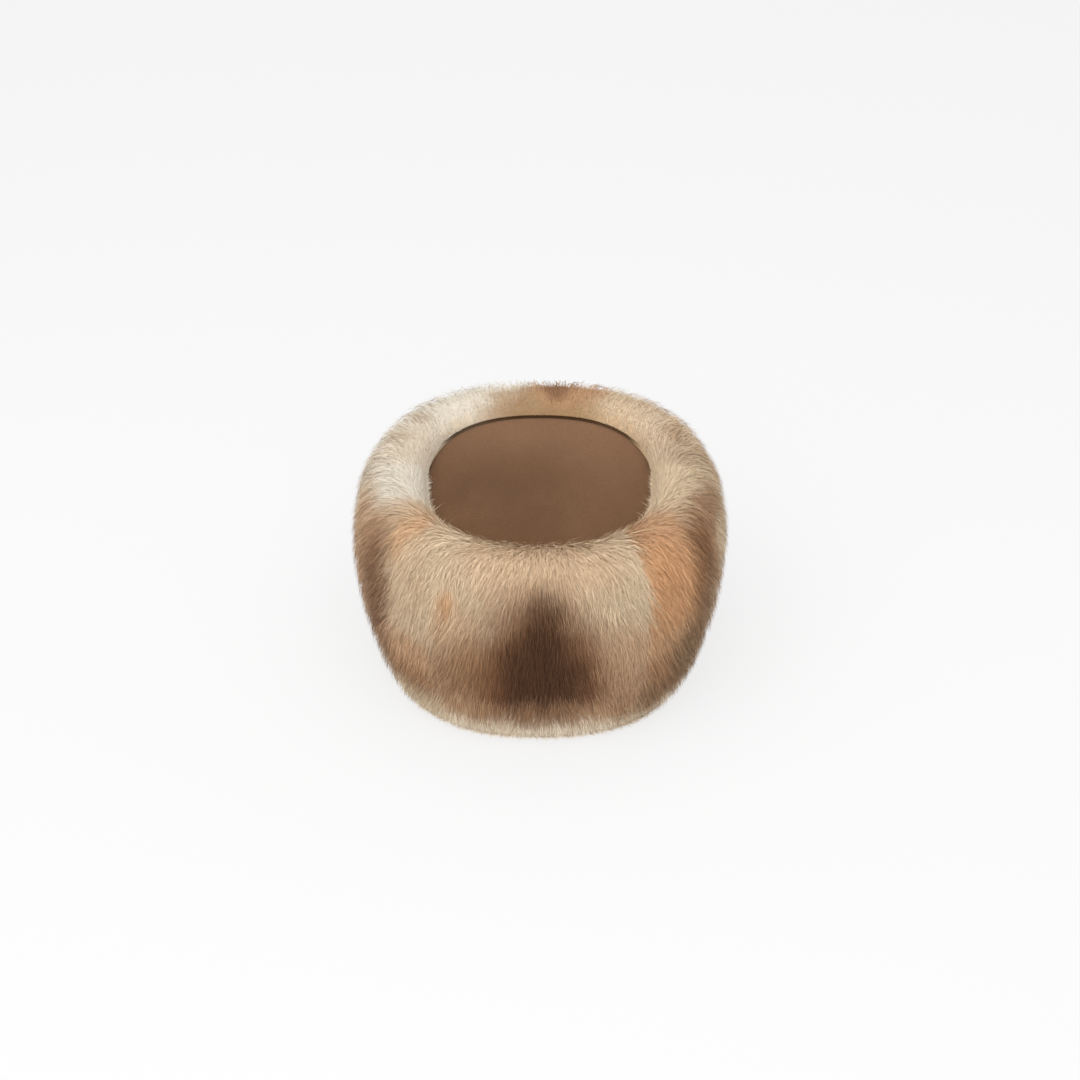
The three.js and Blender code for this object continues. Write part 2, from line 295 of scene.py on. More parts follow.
class HatFormSettings(bpy.types.PropertyGroup):
    """The hat's form: the suede oval, the wall inside and the fur's face."""

    top_half_width: length_prop("Top Half Width", "Half width of the suede", TOP_HALF_WIDTH)
    top_height: length_prop("Top Height", "Where the suede meets the fur", SEAM_HEIGHT)
    top_rise: length_prop("Top Rise", "How far the suede's middle stands above its edge",
                          TOP_CROWN_HEIGHT - SEAM_HEIGHT)
    top_thickness: length_prop("Top Thickness", "Thickness of the suede", 0.0018)
    top_back_rise: length_prop("Top Back Rise", "How far the suede's edge stands higher at the back",
                               0.0034)
    oval_longer: length_prop("Oval Longer", "Half depth less half width of every outline", OVAL_LONGER)
    oval_power: bpy.props.FloatProperty(
        name="Oval Power", description="2 is an ellipse, and more is squarer", default=2.33, min=2.0)
    ridge_half_width: length_prop("Ridge Half Width", "Half width of the fur at its top", 0.092)
    ridge_height: length_prop("Ridge Height", "Height of the fur's top", RIDGE_HEIGHT - LOCKS_OVER_RIDGE)
    widest_half_width: length_prop("Widest Half Width", "Half width of the fur at its widest",
                                   WIDEST_HALF_WIDTH)
    widest_height: length_prop("Widest Height", "Height of the widest place", 0.096)
    hem_half_width: length_prop("Hem Half Width", "Half width of the fur at its hem", 0.096)
    hem_height: length_prop("Hem Height", "Height of the fur's hem", 0.002)
    rim_half_width: length_prop("Rim Half Width", "Half width inside the rim", 0.083)
    rim_thickness: length_prop("Rim Thickness", "Width of the turned rim", 0.0045)
    wall_flare: length_prop("Wall Flare", "How much wider the inside is than the rim", 0.005)
    bed_depth: length_prop("Bed Depth", "How deep the hair's roots lie under the fur's face", 0.0058)
    seam_gap: length_prop("Seam Gap", "Between two pelts' skins", 0.0002)


class HatFurSettings(bpy.types.PropertyGroup):
    """The hair on each pelt."""

    wool_count: bpy.props.IntProperty(
        name="Wool Count", description="Short soft hairs on each pelt", default=43000, min=100)
    guard_count: bpy.props.IntProperty(
        name="Guard Count", description="Longer smooth hairs on each pelt", default=15000, min=100)
    wisp_count: bpy.props.IntProperty(
        name="Wisp Count", description="Longest loose hairs on each pelt", default=19000, min=100)
    wool_width: length_prop("Wool Width", "Width of a soft hair", 0.00037)
    guard_width: length_prop("Guard Width", "Width of a guard hair", 0.00027)
    wisp_width: length_prop("Wisp Width", "Width of a loose hair", 0.00029)
    wisp_reach: length_prop("Wisp Reach", "How far the longest hairs stand off the face", 0.0054)
    sweep: bpy.props.FloatProperty(
        name="Sweep", description="How far the hair at the sides leans away from the front",
        default=0.7, min=0.0, max=2.0)
    clump: bpy.props.FloatProperty(
        name="Clump", description="How far the tips draw together into tufts",
        default=0.12, min=0.0, max=1.0, subtype="FACTOR")
    tuft_size: length_prop("Tuft Size", "Distance between tufts", 0.0035)
    seed: bpy.props.IntProperty(name="Seed", description="Start of the random draws", default=7, min=0)


class HatColourSettings(bpy.types.PropertyGroup):
    """Linear colours of the fur, the suede and the flesh side."""

    # Partly the pale tips at the hems and partly painted light: brighter than ivory, standing for the
    # light that the pale floor throws up under the hem.
    white_hem_and_bounce_light: colour_prop("White", "Tips at the hem", (0.93, 0.83, 0.67))
    ivory: colour_prop("Ivory", "Palest fur", (0.77, 0.715, 0.615))
    cream: colour_prop("Cream", "Pale fur", (0.68, 0.55, 0.385))
    gold: colour_prop("Gold", "Golden fur", (0.42, 0.28, 0.155))
    tan: colour_prop("Tan", "Tan fur", (0.56, 0.345, 0.20))
    orange: colour_prop("Orange", "Orange fur", (0.70, 0.40, 0.205))
    light_brown: colour_prop("Light Brown", "Light brown fur", (0.335, 0.172, 0.083))
    brown: colour_prop("Brown", "Brown fur", (0.20, 0.094, 0.046))
    dark_brown: colour_prop("Dark Brown", "Darkest fur", (0.080, 0.037, 0.018))
    olive: colour_prop("Olive", "Greyish brown fur", (0.29, 0.185, 0.105))
    suede: colour_prop("Suede", "The top", (0.107, 0.0505, 0.0215))
    # The lighter suede colour serves the brushed patches of nap, and also painted light towards the back
    # and the +X side of the top.
    suede_brushed_and_lit: colour_prop("Suede Light", "The top where its nap is brushed up", (0.203, 0.105, 0.052))
    flesh: colour_prop("Flesh Side", "The inside of the pelts", (0.46, 0.32, 0.22))


class HatStageSettings(bpy.types.PropertyGroup):
    """The camera, the floor and the lights."""

    elevation: bpy.props.FloatProperty(
        name="Elevation", description="Of the camera above the horizon",
        default=math.radians(32), subtype="ANGLE")
    distance: length_prop("Distance", "From the camera to what it aims at", 1.714)
    lens: bpy.props.FloatProperty(
        name="Lens", description="Focal length on a 36 mm frame",
        default=85.0, min=10.0, subtype="DISTANCE_CAMERA")
    aim: bpy.props.FloatVectorProperty(
        name="Aim", description="The point that the camera aims at", default=(0.0, 0.0056, 0.0809),
        size=3, subtype="TRANSLATION", unit="LENGTH")
    floor_size: length_prop("Floor Size", "Side of the floor", 12.0)
    paper: colour_prop("Paper", "Floor and background", (0.92, 0.92, 0.92))
    floor_shade: colour_prop("Floor Shade", "How much of the lights' colour the floor returns",
                             (0.16, 0.16, 0.16))
    floor_glow: bpy.props.FloatProperty(
        name="Floor Glow", description="Light that the pale floor gives by itself",
        default=0.80, min=0.0)
    sky: bpy.props.FloatProperty(
        name="Sky", description="Strength of the light from all round", default=1.0, min=0.0)
    key_power: bpy.props.FloatProperty(
        name="Key Power", description="Power of the soft light in front and above, in watts",
        default=28.0, min=0.0)
    key_size: length_prop("Key Size", "Side of the soft light", 1.8)
    key_place: bpy.props.FloatVectorProperty(
        name="Key Place", description="Where the soft light is", default=(-0.25, -1.05, 1.45),
        size=3, subtype="TRANSLATION", unit="LENGTH")


class Wire:
    """One output of a shader node. Arithmetic on it adds the Math nodes that work it out."""

    def __init__(self, bench, socket):
        self.bench = bench
        self.socket = socket

    def __add__(self, other):
        return self.bench.math("ADD", self, other)

    __radd__ = __add__

    def __sub__(self, other):
        return self.bench.math("SUBTRACT", self, other)

    def __rsub__(self, other):
        return self.bench.math("SUBTRACT", other, self)

    def __mul__(self, other):
        return self.bench.math("MULTIPLY", self, other)

    __rmul__ = __mul__

    def __truediv__(self, other):
        return self.bench.math("DIVIDE", self, other)


class Bench:
    """Lays out the nodes of one material."""

    MIX_INPUTS = {"factor": 0, "first": 6, "second": 7}
    MIX_OUTPUT = 2

    def __init__(self, name):
        self.material = bpy.data.materials.new(name)
        self.material.use_nodes = True
        self.tree = self.material.node_tree
        self.tree.nodes.clear()

    def node(self, kind, settings=None, values=None, output=0):
        """Adds a node and returns one of its outputs. settings are set before the sockets' values."""
        made = self.tree.nodes.new("ShaderNode" + kind)
        for name, value in (settings or {}).items():
            setattr(made, name, value)
        for key, value in (values or {}).items():
            socket = made.inputs[key]
            if isinstance(value, Wire):
                self.tree.links.new(value.socket, socket)
            elif socket.type == "RGBA":
                socket.default_value = (*value, 1.0)
            else:
                socket.default_value = value
        return Wire(self, made.outputs[output]) if made.outputs else made

    def math(self, operation, *values):
        return self.node("Math", {"operation": operation}, dict(enumerate(values)))

    def vector(self, operation, *values):
        return self.node("VectorMath", {"operation": operation}, dict(enumerate(values)))

    def scaled(self, colour, factor):
        """A colour or vector times one number."""
        return self.node("VectorMath", {"operation": "SCALE"}, {0: colour, "Scale": factor})

    def parts(self, vector):
        """The three numbers of a vector."""
        first = self.node("SeparateXYZ", None, {0: vector})
        return [Wire(self, socket) for socket in first.socket.node.outputs]

    def blend(self, factor, first, second):
        values = dict(zip(self.MIX_INPUTS.values(), (factor, first, second)))
        return self.node("Mix", {"data_type": "RGBA"}, values, self.MIX_OUTPUT)

    def ease(self, value, start, end):
        """0 where value is at start and 1 where it is at end, with a soft turn at both."""
        settings = {"interpolation_type": "SMOOTHSTEP"}
        return self.node("MapRange", settings, {0: value, 1: start, 2: end, 3: 0.0, 4: 1.0})

    def noise(self, place, scale, detail=2.0, roughness=0.5):
        """Noise between 0 and 1, with scale in bumps to each unit of place."""
        values = {"Vector": place, "Scale": scale, "Detail": detail, "Roughness": roughness}
        return self.node("TexNoise", None, values)

    def finish(self, colour, roughness, bump=None, bump_depth=0.0, **fixed):
        """Ends the material in a Principled shader, with fixed values on its own sockets."""
        values = {"Base Color": colour, "Roughness": roughness}
        if bump is not None:
            values["Normal"] = self.node("Bump", None, {"Height": bump, "Distance": bump_depth})
        values.update({name.replace("_", " ").title().replace("Ior", "IOR"): value
                       for name, value in fixed.items()})
        shader = self.node("BsdfPrincipled", None, values)
        self.node("OutputMaterial", None, {"Surface": shader})
        return self.material


def settings_of(context):
    return context.scene.cossack_hat


def back_rise(form, y):
    """How far the suede stands up at this depth, none in front and all of it at the back."""
    share = np.clip(y / (form.top_half_width + form.oval_longer), 0, 1)
    return form.top_back_rise * share * share * (3 - 2 * share)


def oval_radius(form, half, azimuth):
    """Distance from the Z axis to the oval of this half width."""
    across = np.abs(np.sin(azimuth) / half) ** form.oval_power
    along = np.abs(np.cos(azimuth) / (half + form.oval_longer)) ** form.oval_power
    return (across + along) ** (-1 / form.oval_power)


def oval_point(form, half, height, azimuth):
    """Points on the oval of this half width, at this height."""
    radius = oval_radius(form, half, azimuth)
    return np.stack(np.broadcast_arrays(radius * np.sin(azimuth), -radius * np.cos(azimuth), height), -1)


def oval_outwards(form, half, azimuth):
    """Level directions out of the oval of this half width."""
    place = oval_point(form, half, 0.0, azimuth)
    deep = half + form.oval_longer
    x = np.sign(place[..., 0]) * np.abs(place[..., 0] / half) ** (form.oval_power - 1) / half
    y = np.sign(place[..., 1]) * np.abs(place[..., 1] / deep) ** (form.oval_power - 1) / deep
    return unit(np.stack([x, y, np.zeros_like(x)], -1))


def unit(vectors):
    return vectors / np.maximum(np.linalg.norm(vectors, axis=-1, keepdims=True), 1e-12)


def quarter(centre, reach, power, steps):
    """A quarter of a superellipse, as rows of half width and height."""
    turn = np.linspace(0, math.pi / 2, steps + 1)
    half = centre[0] + reach[0] * np.cos(turn) ** (2 / power)
    return np.stack([half, centre[1] + reach[1] * np.sin(turn) ** (2 / power)], 1)


class FurFace:
    """The fur's dense outer face, walked down from the suede over the ridge to the hem."""

    # The powers of its three curves, and the steps in each.
    INNER_POWER = 2.0
    SHOULDER_POWER = 2.27
    SIDE_POWER = 1.51
    STEPS = 60

    # It goes on past both ends. Past the hem it flares and drops by these shares of the way, and it is
    # never lower than LOWEST.
    BEYOND = 0.014
    PAST_FLARE = 0.45
    PAST_DROP = 0.2
    LOWEST = 0.0006

    # Between its stations, and the length that its slope is softened over.
    STEP = 0.0005
    SOFTENED = 0.006

    # The bed's depth beside the suede, and how far down it is at its full depth.
    BED_START = 0.0008
    BED_FULL = 0.042

    def __init__(self, form):
        self.form = form
        top = (form.top_half_width, form.top_height)
        ridge = (form.ridge_half_width, form.ridge_height)
        widest = (form.widest_half_width, form.widest_height)
        hem = (form.hem_half_width, form.hem_height)
        inner = quarter((ridge[0], top[1]), (top[0] - ridge[0], ridge[1] - top[1]),
                        self.INNER_POWER, self.STEPS)
        shoulder = quarter((ridge[0], widest[1]), (widest[0] - ridge[0], ridge[1] - widest[1]),
                           self.SHOULDER_POWER, self.STEPS)[::-1]
        side = quarter((hem[0], widest[1]), (widest[0] - hem[0], hem[1] - widest[1]),
                       self.SIDE_POWER, self.STEPS)
        line = np.concatenate([inner, shoulder[1:], side[1:]])
        walked = np.concatenate([[0.0], np.cumsum(np.hypot(*np.diff(line, axis=0).T))])
        self.length = walked[-1]
        self.walk = np.arange(-self.BEYOND, self.length + self.BEYOND, self.STEP)
        self.half = np.interp(self.walk, walked, line[:, 0]) + np.minimum(self.walk, 0)
        self.height = np.interp(self.walk, walked, line[:, 1])
        past = np.maximum(self.walk - self.length, 0)
        self.half += self.PAST_FLARE * past
        self.height = np.maximum(self.height - self.PAST_DROP * past, self.LOWEST)
        steps = (np.gradient(self.half), np.gradient(self.height))
        turn = np.unwrap(np.arctan2(steps[0], -steps[1]))
        window = np.hanning(2 * round(self.SOFTENED / self.STEP) + 1)
        padded = np.pad(turn, len(window) // 2, mode="edge")
        self.tilt = np.convolve(padded, window / window.sum(), mode="valid")

    def start(self, azimuth):
        """How far down the face the suede's edge lies."""
        edge = oval_point(self.form, self.form.top_half_width, 0.0, azimuth)
        return back_rise(self.form, edge[..., 1])

    def bed(self, walk):
        """How deep the wool and the hair's roots lie under the face, little beside the suede."""
        share = np.clip(walk / self.BED_FULL, 0, 1)
        return self.BED_START + (self.form.bed_depth - self.BED_START) * share * share * (3 - 2 * share)

    def at(self, walk, azimuth):
        """Places on the face, with the directions out of it there."""
        half = np.interp(walk, self.walk, self.half)
        place = oval_point(self.form, half, np.interp(walk, self.walk, self.height), azimuth)
        tilt = np.interp(walk, self.walk, self.tilt)[..., None]
        level = oval_outwards(self.form, half, azimuth)
        up = np.array([0.0, 0.0, 1.0])
        return place, np.cos(tilt) * level + np.sin(tilt) * up


def triangle_mesh(name, corners, triangles, normals=None):
    """A mesh from rows of corners and rows of three corner numbers."""
    mesh = bpy.data.meshes.new(name)
    mesh.vertices.add(len(corners))
    mesh.vertices.foreach_set("co", corners.ravel())
    mesh.loops.add(triangles.size)
    mesh.loops.foreach_set("vertex_index", triangles.ravel())
    mesh.polygons.add(len(triangles))
    mesh.polygons.foreach_set("loop_start", np.arange(0, triangles.size, triangles.shape[1]))
    mesh.update(calc_edges=True)
    mesh.shade_smooth()
    if normals is not None:
        mesh.normals_split_custom_set_from_vertices(normals.tolist())
    return mesh


def add_attribute(mesh, name, kind, values):
    """Keeps one value, or one vector, for each of the mesh's corners."""
    layer = mesh.attributes.new(name, kind, "POINT")
    layer.data.foreach_set("vector" if kind == "FLOAT_VECTOR" else "value", values.ravel())


def add_piece(name, mesh, materials, replaced):
    """Shows a mesh as a piece of the hat that stands for one CAD node."""
    piece = bpy.data.objects.new(name, mesh)
    bpy.context.scene.collection.objects.link(piece)
    for material in materials:
        mesh.materials.append(material)
    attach(piece, "root")
    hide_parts(replaced)
    return piece


def ripple(rng, across, down, wavelength):
    """A smooth field between about -1 and 1 over places in metres."""
    field = np.zeros_like(across)
    for _ in range(RIPPLE_WAVES):
        turn, phase = rng.uniform(0, 2 * math.pi, 2)
        pace = 2 * math.pi / (wavelength * rng.uniform(*RIPPLE_SPREAD))
        field += np.sin(pace * (across * math.cos(turn) + down * math.sin(turn)) + phase)
    return field / math.sqrt(RIPPLE_WAVES)


def spread(count, rng):
    """Evenly scattered pairs of numbers from 0 to 1."""
    plastic = 1.32471795724474602596
    turns = (rng.uniform(size=2) + np.outer(np.arange(count), (1 / plastic, 1 / plastic**2))) % 1
    return turns[:, 0], turns[:, 1]


def hair_roots(face, middle, count, rng):
    """Azimuths and distances down of hair roots, closer together where the hair is short."""
    u, v = spread(count, rng)
    walk = np.linspace(FIRST_ROOT, face.length - LAST_ROOT, ROOT_STATIONS)
    half = np.interp(walk, face.walk, face.half)
    lean = np.interp(walk, [MM * lay.down for lay in HAIR_LAY], [lay.lean for lay in HAIR_LAY])
    density = oval_radius(face.form, half, middle) * np.cos(np.radians(lean)) ** SOWING
    gathered = np.cumsum(density)
    down = np.interp(v * gathered[-1], gathered, walk)
    azimuth = middle + math.radians(PELT_DEGREES) * (u - 0.5)
    return azimuth, down


Hairs = namedtuple("Hairs", "corners normals place chance roots")


def grow_hairs(face, fur, middle, coat, rng):
    """The hairs of one coat, each a narrow strip that is pointed at both ends."""
    count = coat.count
    azimuth, down = hair_roots(face, middle, count, rng)
    stations = [MM * lay.down for lay in HAIR_LAY]
    lean = np.radians(np.interp(down, stations, [lay.lean for lay in HAIR_LAY]))
    back = np.clip(-BACK_GAIN * np.cos(azimuth), 0, 1)
    lean *= 1 - SEAM_UPRIGHT * back * np.clip(1 - down / SEAM_REACH, 0, 1)
    lean += np.radians(LEAN_STRAY) * rng.standard_normal(count)
    lean = np.clip(lean, np.radians(LEAN_LEAST), np.radians(LEAN_MOST))
    turn = np.interp(down, stations, [lay.turn for lay in HAIR_LAY])
    strayed = TURN_STRAY * rng.standard_normal(count) * np.clip(turn / TURN_FULL, 0, 1)
    faced = np.radians(turn + strayed) * (1 - back)
    lift = MM * np.interp(down, stations, [lay.lift for lay in HAIR_LAY])
    long = coat.low + (coat.high - coat.low) * rng.uniform(size=count) ** coat.skew
    long *= np.clip(SHORT_SHARE + down / LENGTHEN_OVER, 0, 1)
    lift += long
    bed = face.bed(down)
    rise = np.maximum(bed + lift, RISE_LEAST)
    reach = rise * np.tan(lean)

    signed = (azimuth + math.pi) % (2 * math.pi) - math.pi
    onwards = np.cos(faced)
    beside = np.sin(faced) * np.clip(signed / PARTING + PARTING_MIX * rng.standard_normal(count), -1, 1)
    level = np.maximum(np.hypot(onwards, beside), LEVEL_LEAST)
    forward = reach * onwards / level
    radius = oval_radius(face.form, np.interp(down, face.walk, face.half), azimuth)
    across = radius * (azimuth - middle)
    swept = fur.sweep * np.sin(azimuth) * np.clip((down - SWEEP_START) / SWEEP_FADE, 0, 1)
    flow = FLOW_SHARE * ripple(rng, across, down, FLOW_LENGTH) + FLOW_STRAY * rng.standard_normal(count)
    sideways = reach * (beside / level + swept + flow) + SIDE_STRAY * rng.standard_normal(count)

    # The tips of each tuft draw towards its middle.
    tuft = fur.tuft_size
    cell = np.stack([np.floor(across / tuft), np.floor(down / (TUFT_LONGER * tuft))], 1)
    jitter = np.modf(np.abs(np.sin(cell @ PLACE_MIX) * PLACE_SCALE))[0]
    home = (cell + 0.5) * tuft * np.array([1, TUFT_LONGER])
    home += (jitter[:, None] - 0.5) * tuft
    pull = fur.clump * rng.uniform(PULL_LEAST, 1.0, count)
    drawn = np.clip(home - np.stack([across, down], 1), -tuft, tuft) * pull[:, None]

    along = np.array([0.0, 0.5, 1.0])
    bow = along**BOW
    start = face.start(azimuth)
    rooted = start + down * (1 - start / face.length)
    station = rooted[:, None] + forward[:, None] * bow + drawn[:, 1:] * along**2
    turned = azimuth[:, None] + (sideways[:, None] * bow + drawn[:, :1] * along**2) / radius[:, None]
    place, out = face.at(station, turned)
    height = rise[:, None] * (1 - (1 - along) ** RISE_BEND) - bed[:, None] - ROOT_SINK
    line = place + out * height[..., None]
    ahead = unit(line[:, 2] - line[:, 0])
    flat = unit(np.cross(ahead, out[:, 1]))
    twist = coat.twist * rng.uniform(-1, 1, count)[:, None]
    wide = coat.width * rng.uniform(*WIDTH_SPREAD, count)[:, None]
    offset = wide / 2 * (np.cos(twist) * flat + np.sin(twist) * np.cross(flat, ahead))
    corners = np.stack([line[:, 0], line[:, 1] + offset, line[:, 1] - offset, line[:, 2]], 1)
    corners[..., 2] = np.maximum(corners[..., 2], LOWEST)

    blur = np.clip(down / BLUR_REACH, BLUR_LEAST, 1)
    shown_down = down + forward * MARKED + rng.normal(0, BLUR_DOWN, count) * blur
    shown_across = np.degrees(azimuth - middle + sideways * MARKED / radius)
    shown_across += rng.normal(0, BLUR_ACROSS, count)
    shown = np.zeros((count, 4, 3))
    shown[..., 0] = shown_across[:, None]
    shown[..., 1] = shown_down[:, None] / MM
    shown[..., 2] = (0.0, 0.5, 0.5, 1.0)
    shown[:, 3, 2] += np.clip((long - DARK_TIP) / DARK_TIP_SPAN, 0, 1)
    chance = np.repeat(rng.uniform(size=count)[:, None], 4, 1)
    return Hairs(corners, out[:, (0, 1, 1, 2)], shown, chance, np.stack([across, down], 1))


def place_uvs(mesh, roots):
    """Gives every hair a cell of its own in the UV map, near its neighbours' cells."""
    total = len(roots)
    side = math.ceil(math.sqrt(total))
    column = np.empty(total, int)
    column[np.argsort(roots[:, 0])] = np.arange(total) // side
    order = np.lexsort((roots[:, 1], column))
    row = np.empty(total, int)
    row[order] = np.arange(total) - column[order] * side
    margin = 0.12
    corner = np.stack([column, row], 1)[:, None, None, :] + margin
    layer = mesh.uv_layers.new(name="OFBake")
    layer.data.foreach_set("uv", ((corner + (1 - 2 * margin) * STRIP_CELL) / side).ravel())


def pelt_markings(bench, pelt, number, colours, chance):
    """The markings' colour, the distances from the suede and along the hair, and the streaks."""
    place = bench.node("Attribute", {"attribute_name": "fur_place"}, output="Vector")
    across, down, along = bench.parts(place)

    # Places in centimetres, shifted so that no two pelts have the same noise.
    flat = bench.vector("MULTIPLY", place, (0.21, 0.1, 0.0))
    shifted = bench.vector("ADD", flat, (7.3 * number, 0.0, 0.0))
    stretched = bench.vector("MULTIPLY", shifted, (1.0, 0.3, 1.0))
    wander = bench.noise(shifted, 0.55, 2.0) - 0.5
    drift = bench.noise(bench.vector("ADD", shifted, (0.0, 31.0, 5.0)), 0.6, 2.0) - 0.5
    streak = bench.noise(stretched, 3.2, 2.0)
    wavy_across = across + wander * 9 + (streak - 0.5) * 3
    wavy_down = down + drift * 26 + (chance - 0.5) * 6

    colour = tuple(getattr(colours, pelt.base))
    for patch in pelt.patches:
        dx = (wavy_across - patch.across) / patch.wide
        dy = (wavy_down - patch.down) / patch.tall
        mask = bench.ease(dx * dx + dy * dy, 1.7, 0.15) * patch.strength
        colour = bench.blend(mask, colour, tuple(getattr(colours, patch.colour)))
    return colour, down, along, streak


def behind(bench):
    """1 on the far part of the hat, where the hair is brushed off the suede's seam, and 0 elsewhere."""
    depth = bench.parts(bench.node("TexCoord", output="Object"))[1]
    return bench.ease(depth, 0.042, 0.064)


# What colours are multiplied by at a hair's roots, at its tips and at its dark tips, and on the wool
# between the hairs. The two seam tints are painted shade: they darken the hair in the far seam and the
# wool in its seam beside the suede, standing for the shadow in the seam gap.
PLAIN = (1.0, 1.0, 1.0)
ROOT_TINT = (0.98, 0.90, 0.80)
TIP_TINT = (0.86, 0.80, 0.74)
DARK_TIP_TINT = (0.38, 0.30, 0.24)
SEAM_SHADE_TINT = (0.50, 0.38, 0.28)
WOOL_TINT = (0.94, 0.84, 0.72)
WOOL_SEAM_SHADE_TINT = (0.10, 0.07, 0.05)


def fur_material(pelt, number, colours):
    """The pelt's markings, its darker roots and a little difference from hair to hair."""
    bench = Bench("fur_" + pelt.name)
    chance = bench.node("Attribute", {"attribute_name": "fur_chance"}, output="Fac")
    colour, down, along, streak = pelt_markings(bench, pelt, number, colours, chance)
    contrast = 1.0 - bench.ease(down, 34.0, 12.0) * 0.5
    shade = 1.05 - bench.ease(along, 0.6, 0.1) * contrast * 0.13
    variety = 1.02 + ((chance - 0.5) * 0.32 + (streak - 0.5) * 0.16) * contrast
    roots = bench.blend(bench.ease(along, 0.45, 0.05), PLAIN, ROOT_TINT)
    soft = bench.blend(bench.ease(along, 0.66, 1.0), roots, TIP_TINT)
    dark = bench.ease(along, 1.0, 1.6) * bench.ease(chance, 0.75, 0.5)
    tips = bench.blend(dark, soft, DARK_TIP_TINT)
    # Painted shade: the hair's roots in the seam beside the suede at the back are darkened, standing for
    # the shadow in the seam gap.
    seam = bench.ease(down, 1.7, 0.3) * bench.ease(along, 0.9, 0.2) * behind(bench)
    dimmed = bench.blend(seam, tips, SEAM_SHADE_TINT)
    tinted = bench.vector("MULTIPLY", colour, dimmed)
    final = bench.scaled(tinted, shade * variety)
    return bench.finish(final, 0.75, Specular_IOR_Level=0.12)


def underfur_material(pelt, number, colours):
    """The dense wool at the hair's roots, which shows a little between the hairs."""
    bench = Bench("underfur_" + pelt.name)
    where = bench.node("TexCoord", output="Object")
    fibres = bench.noise(bench.scaled(where, 1000.0), 1.1, 4.0, 0.7)
    colour, down, _, streak = pelt_markings(bench, pelt, number, colours, fibres)
    # Painted shade: the wool in the seam beside the suede is darkened almost to black, most at the back,
    # standing for the shadow in the seam gap.
    seam = bench.ease(down, 1.1, 0.25) * (behind(bench) * 0.6 + 0.4)
    tint = bench.blend(seam, WOOL_TINT, WOOL_SEAM_SHADE_TINT)
    warmed = bench.vector("MULTIPLY", colour, tint)
    # Painted light: the wool within a few centimetres of the suede is brightened to offset the shade
    # that falls between the hairs there; the wool is not really paler there.
    pale = bench.ease(down, 34.0, 8.0) * 0.3
    final = bench.scaled(warmed, 0.82 + fibres * 0.25 + streak * 0.1 + pale)
    return bench.finish(final, 0.95, fibres, 0.0008, Specular_IOR_Level=0.1)


def flesh_material(colours):
    """The plain flesh side of the pelts, a fine suede with soft creases."""
    bench = Bench("pelt_flesh_side")
    where = bench.node("TexCoord", output="Object")
    cloudy = bench.noise(bench.scaled(where, 100.0), 0.35, 3.0)
    nap = bench.noise(bench.scaled(where, 1000.0), 0.9, 3.0, 0.65)
    creases = bench.noise(bench.vector("MULTIPLY", where, (60.0, 60.0, 14.0)), 1.6, 3.0, 0.6)
    flesh = Vector(colours.flesh)
    colour = bench.blend(bench.ease(cloudy, 0.3, 0.7), tuple(0.82 * flesh), tuple(1.1 * flesh))
    final = bench.scaled(colour, 0.9 + nap * 0.2)
    height = nap * 0.25 + creases
    return bench.finish(final, 0.9, height, 0.0006, Specular_IOR_Level=0.2)


def suede_material(form, colours):
    """Brown suede with a fine nap, brushed lighter in places, with painted light that makes it lighter
    towards the back and towards +X, and painted shade in its seam.
    """
    bench = Bench("suede_top")
    where = bench.node("TexCoord", output="Object")
    width, depth, _ = bench.parts(where)
    nearness = 0.0
    for place, half in ((width, form.top_half_width), (depth, form.top_half_width + form.oval_longer)):
        share = bench.math("ABSOLUTE", place) / half
        nearness = bench.math("POWER", share, form.oval_power) + nearness
    brushed = bench.noise(bench.vector("MULTIPLY", where, (26.0, 14.0, 20.0)), 1.0, 3.0, 0.55)
    mottle = bench.noise(bench.scaled(where, 1000.0), 0.12, 3.0, 0.6)
    nap = bench.noise(bench.scaled(where, 1000.0), 1.7, 4.0, 0.7)
    # Painted light: the suede is made lighter towards the back and towards +X, where the light falls on
    # the top more. Only the brushed patches are the suede's own lighter tone.
    back = bench.ease(depth, -0.01, 0.09)
    lighter = bench.ease(brushed, 0.35, 0.75) * 0.22 + back * 0.85 + bench.ease(width, -0.02, 0.07) * 0.2
    colour = bench.blend(lighter, tuple(colours.suede), tuple(colours.suede_brushed_and_lit))
    grain = bench.noise(bench.scaled(where, 1000.0), 0.8, 2.0, 0.7)
    # Painted shade: the suede darkens over the last sliver before its edge, standing for the shadow in
    # the seam.
    seam = 1.0 - bench.ease(nearness, 0.980, 1.0) * 0.7
    final = bench.scaled(colour, (0.42 + mottle * 0.08 + nap * 0.52 + grain * 0.62) * seam)
    return bench.finish(final, 0.94, nap + grain, 0.0005,
                        Specular_IOR_Level=0.12, Sheen_Weight=0.05, Sheen_Roughness=0.5)


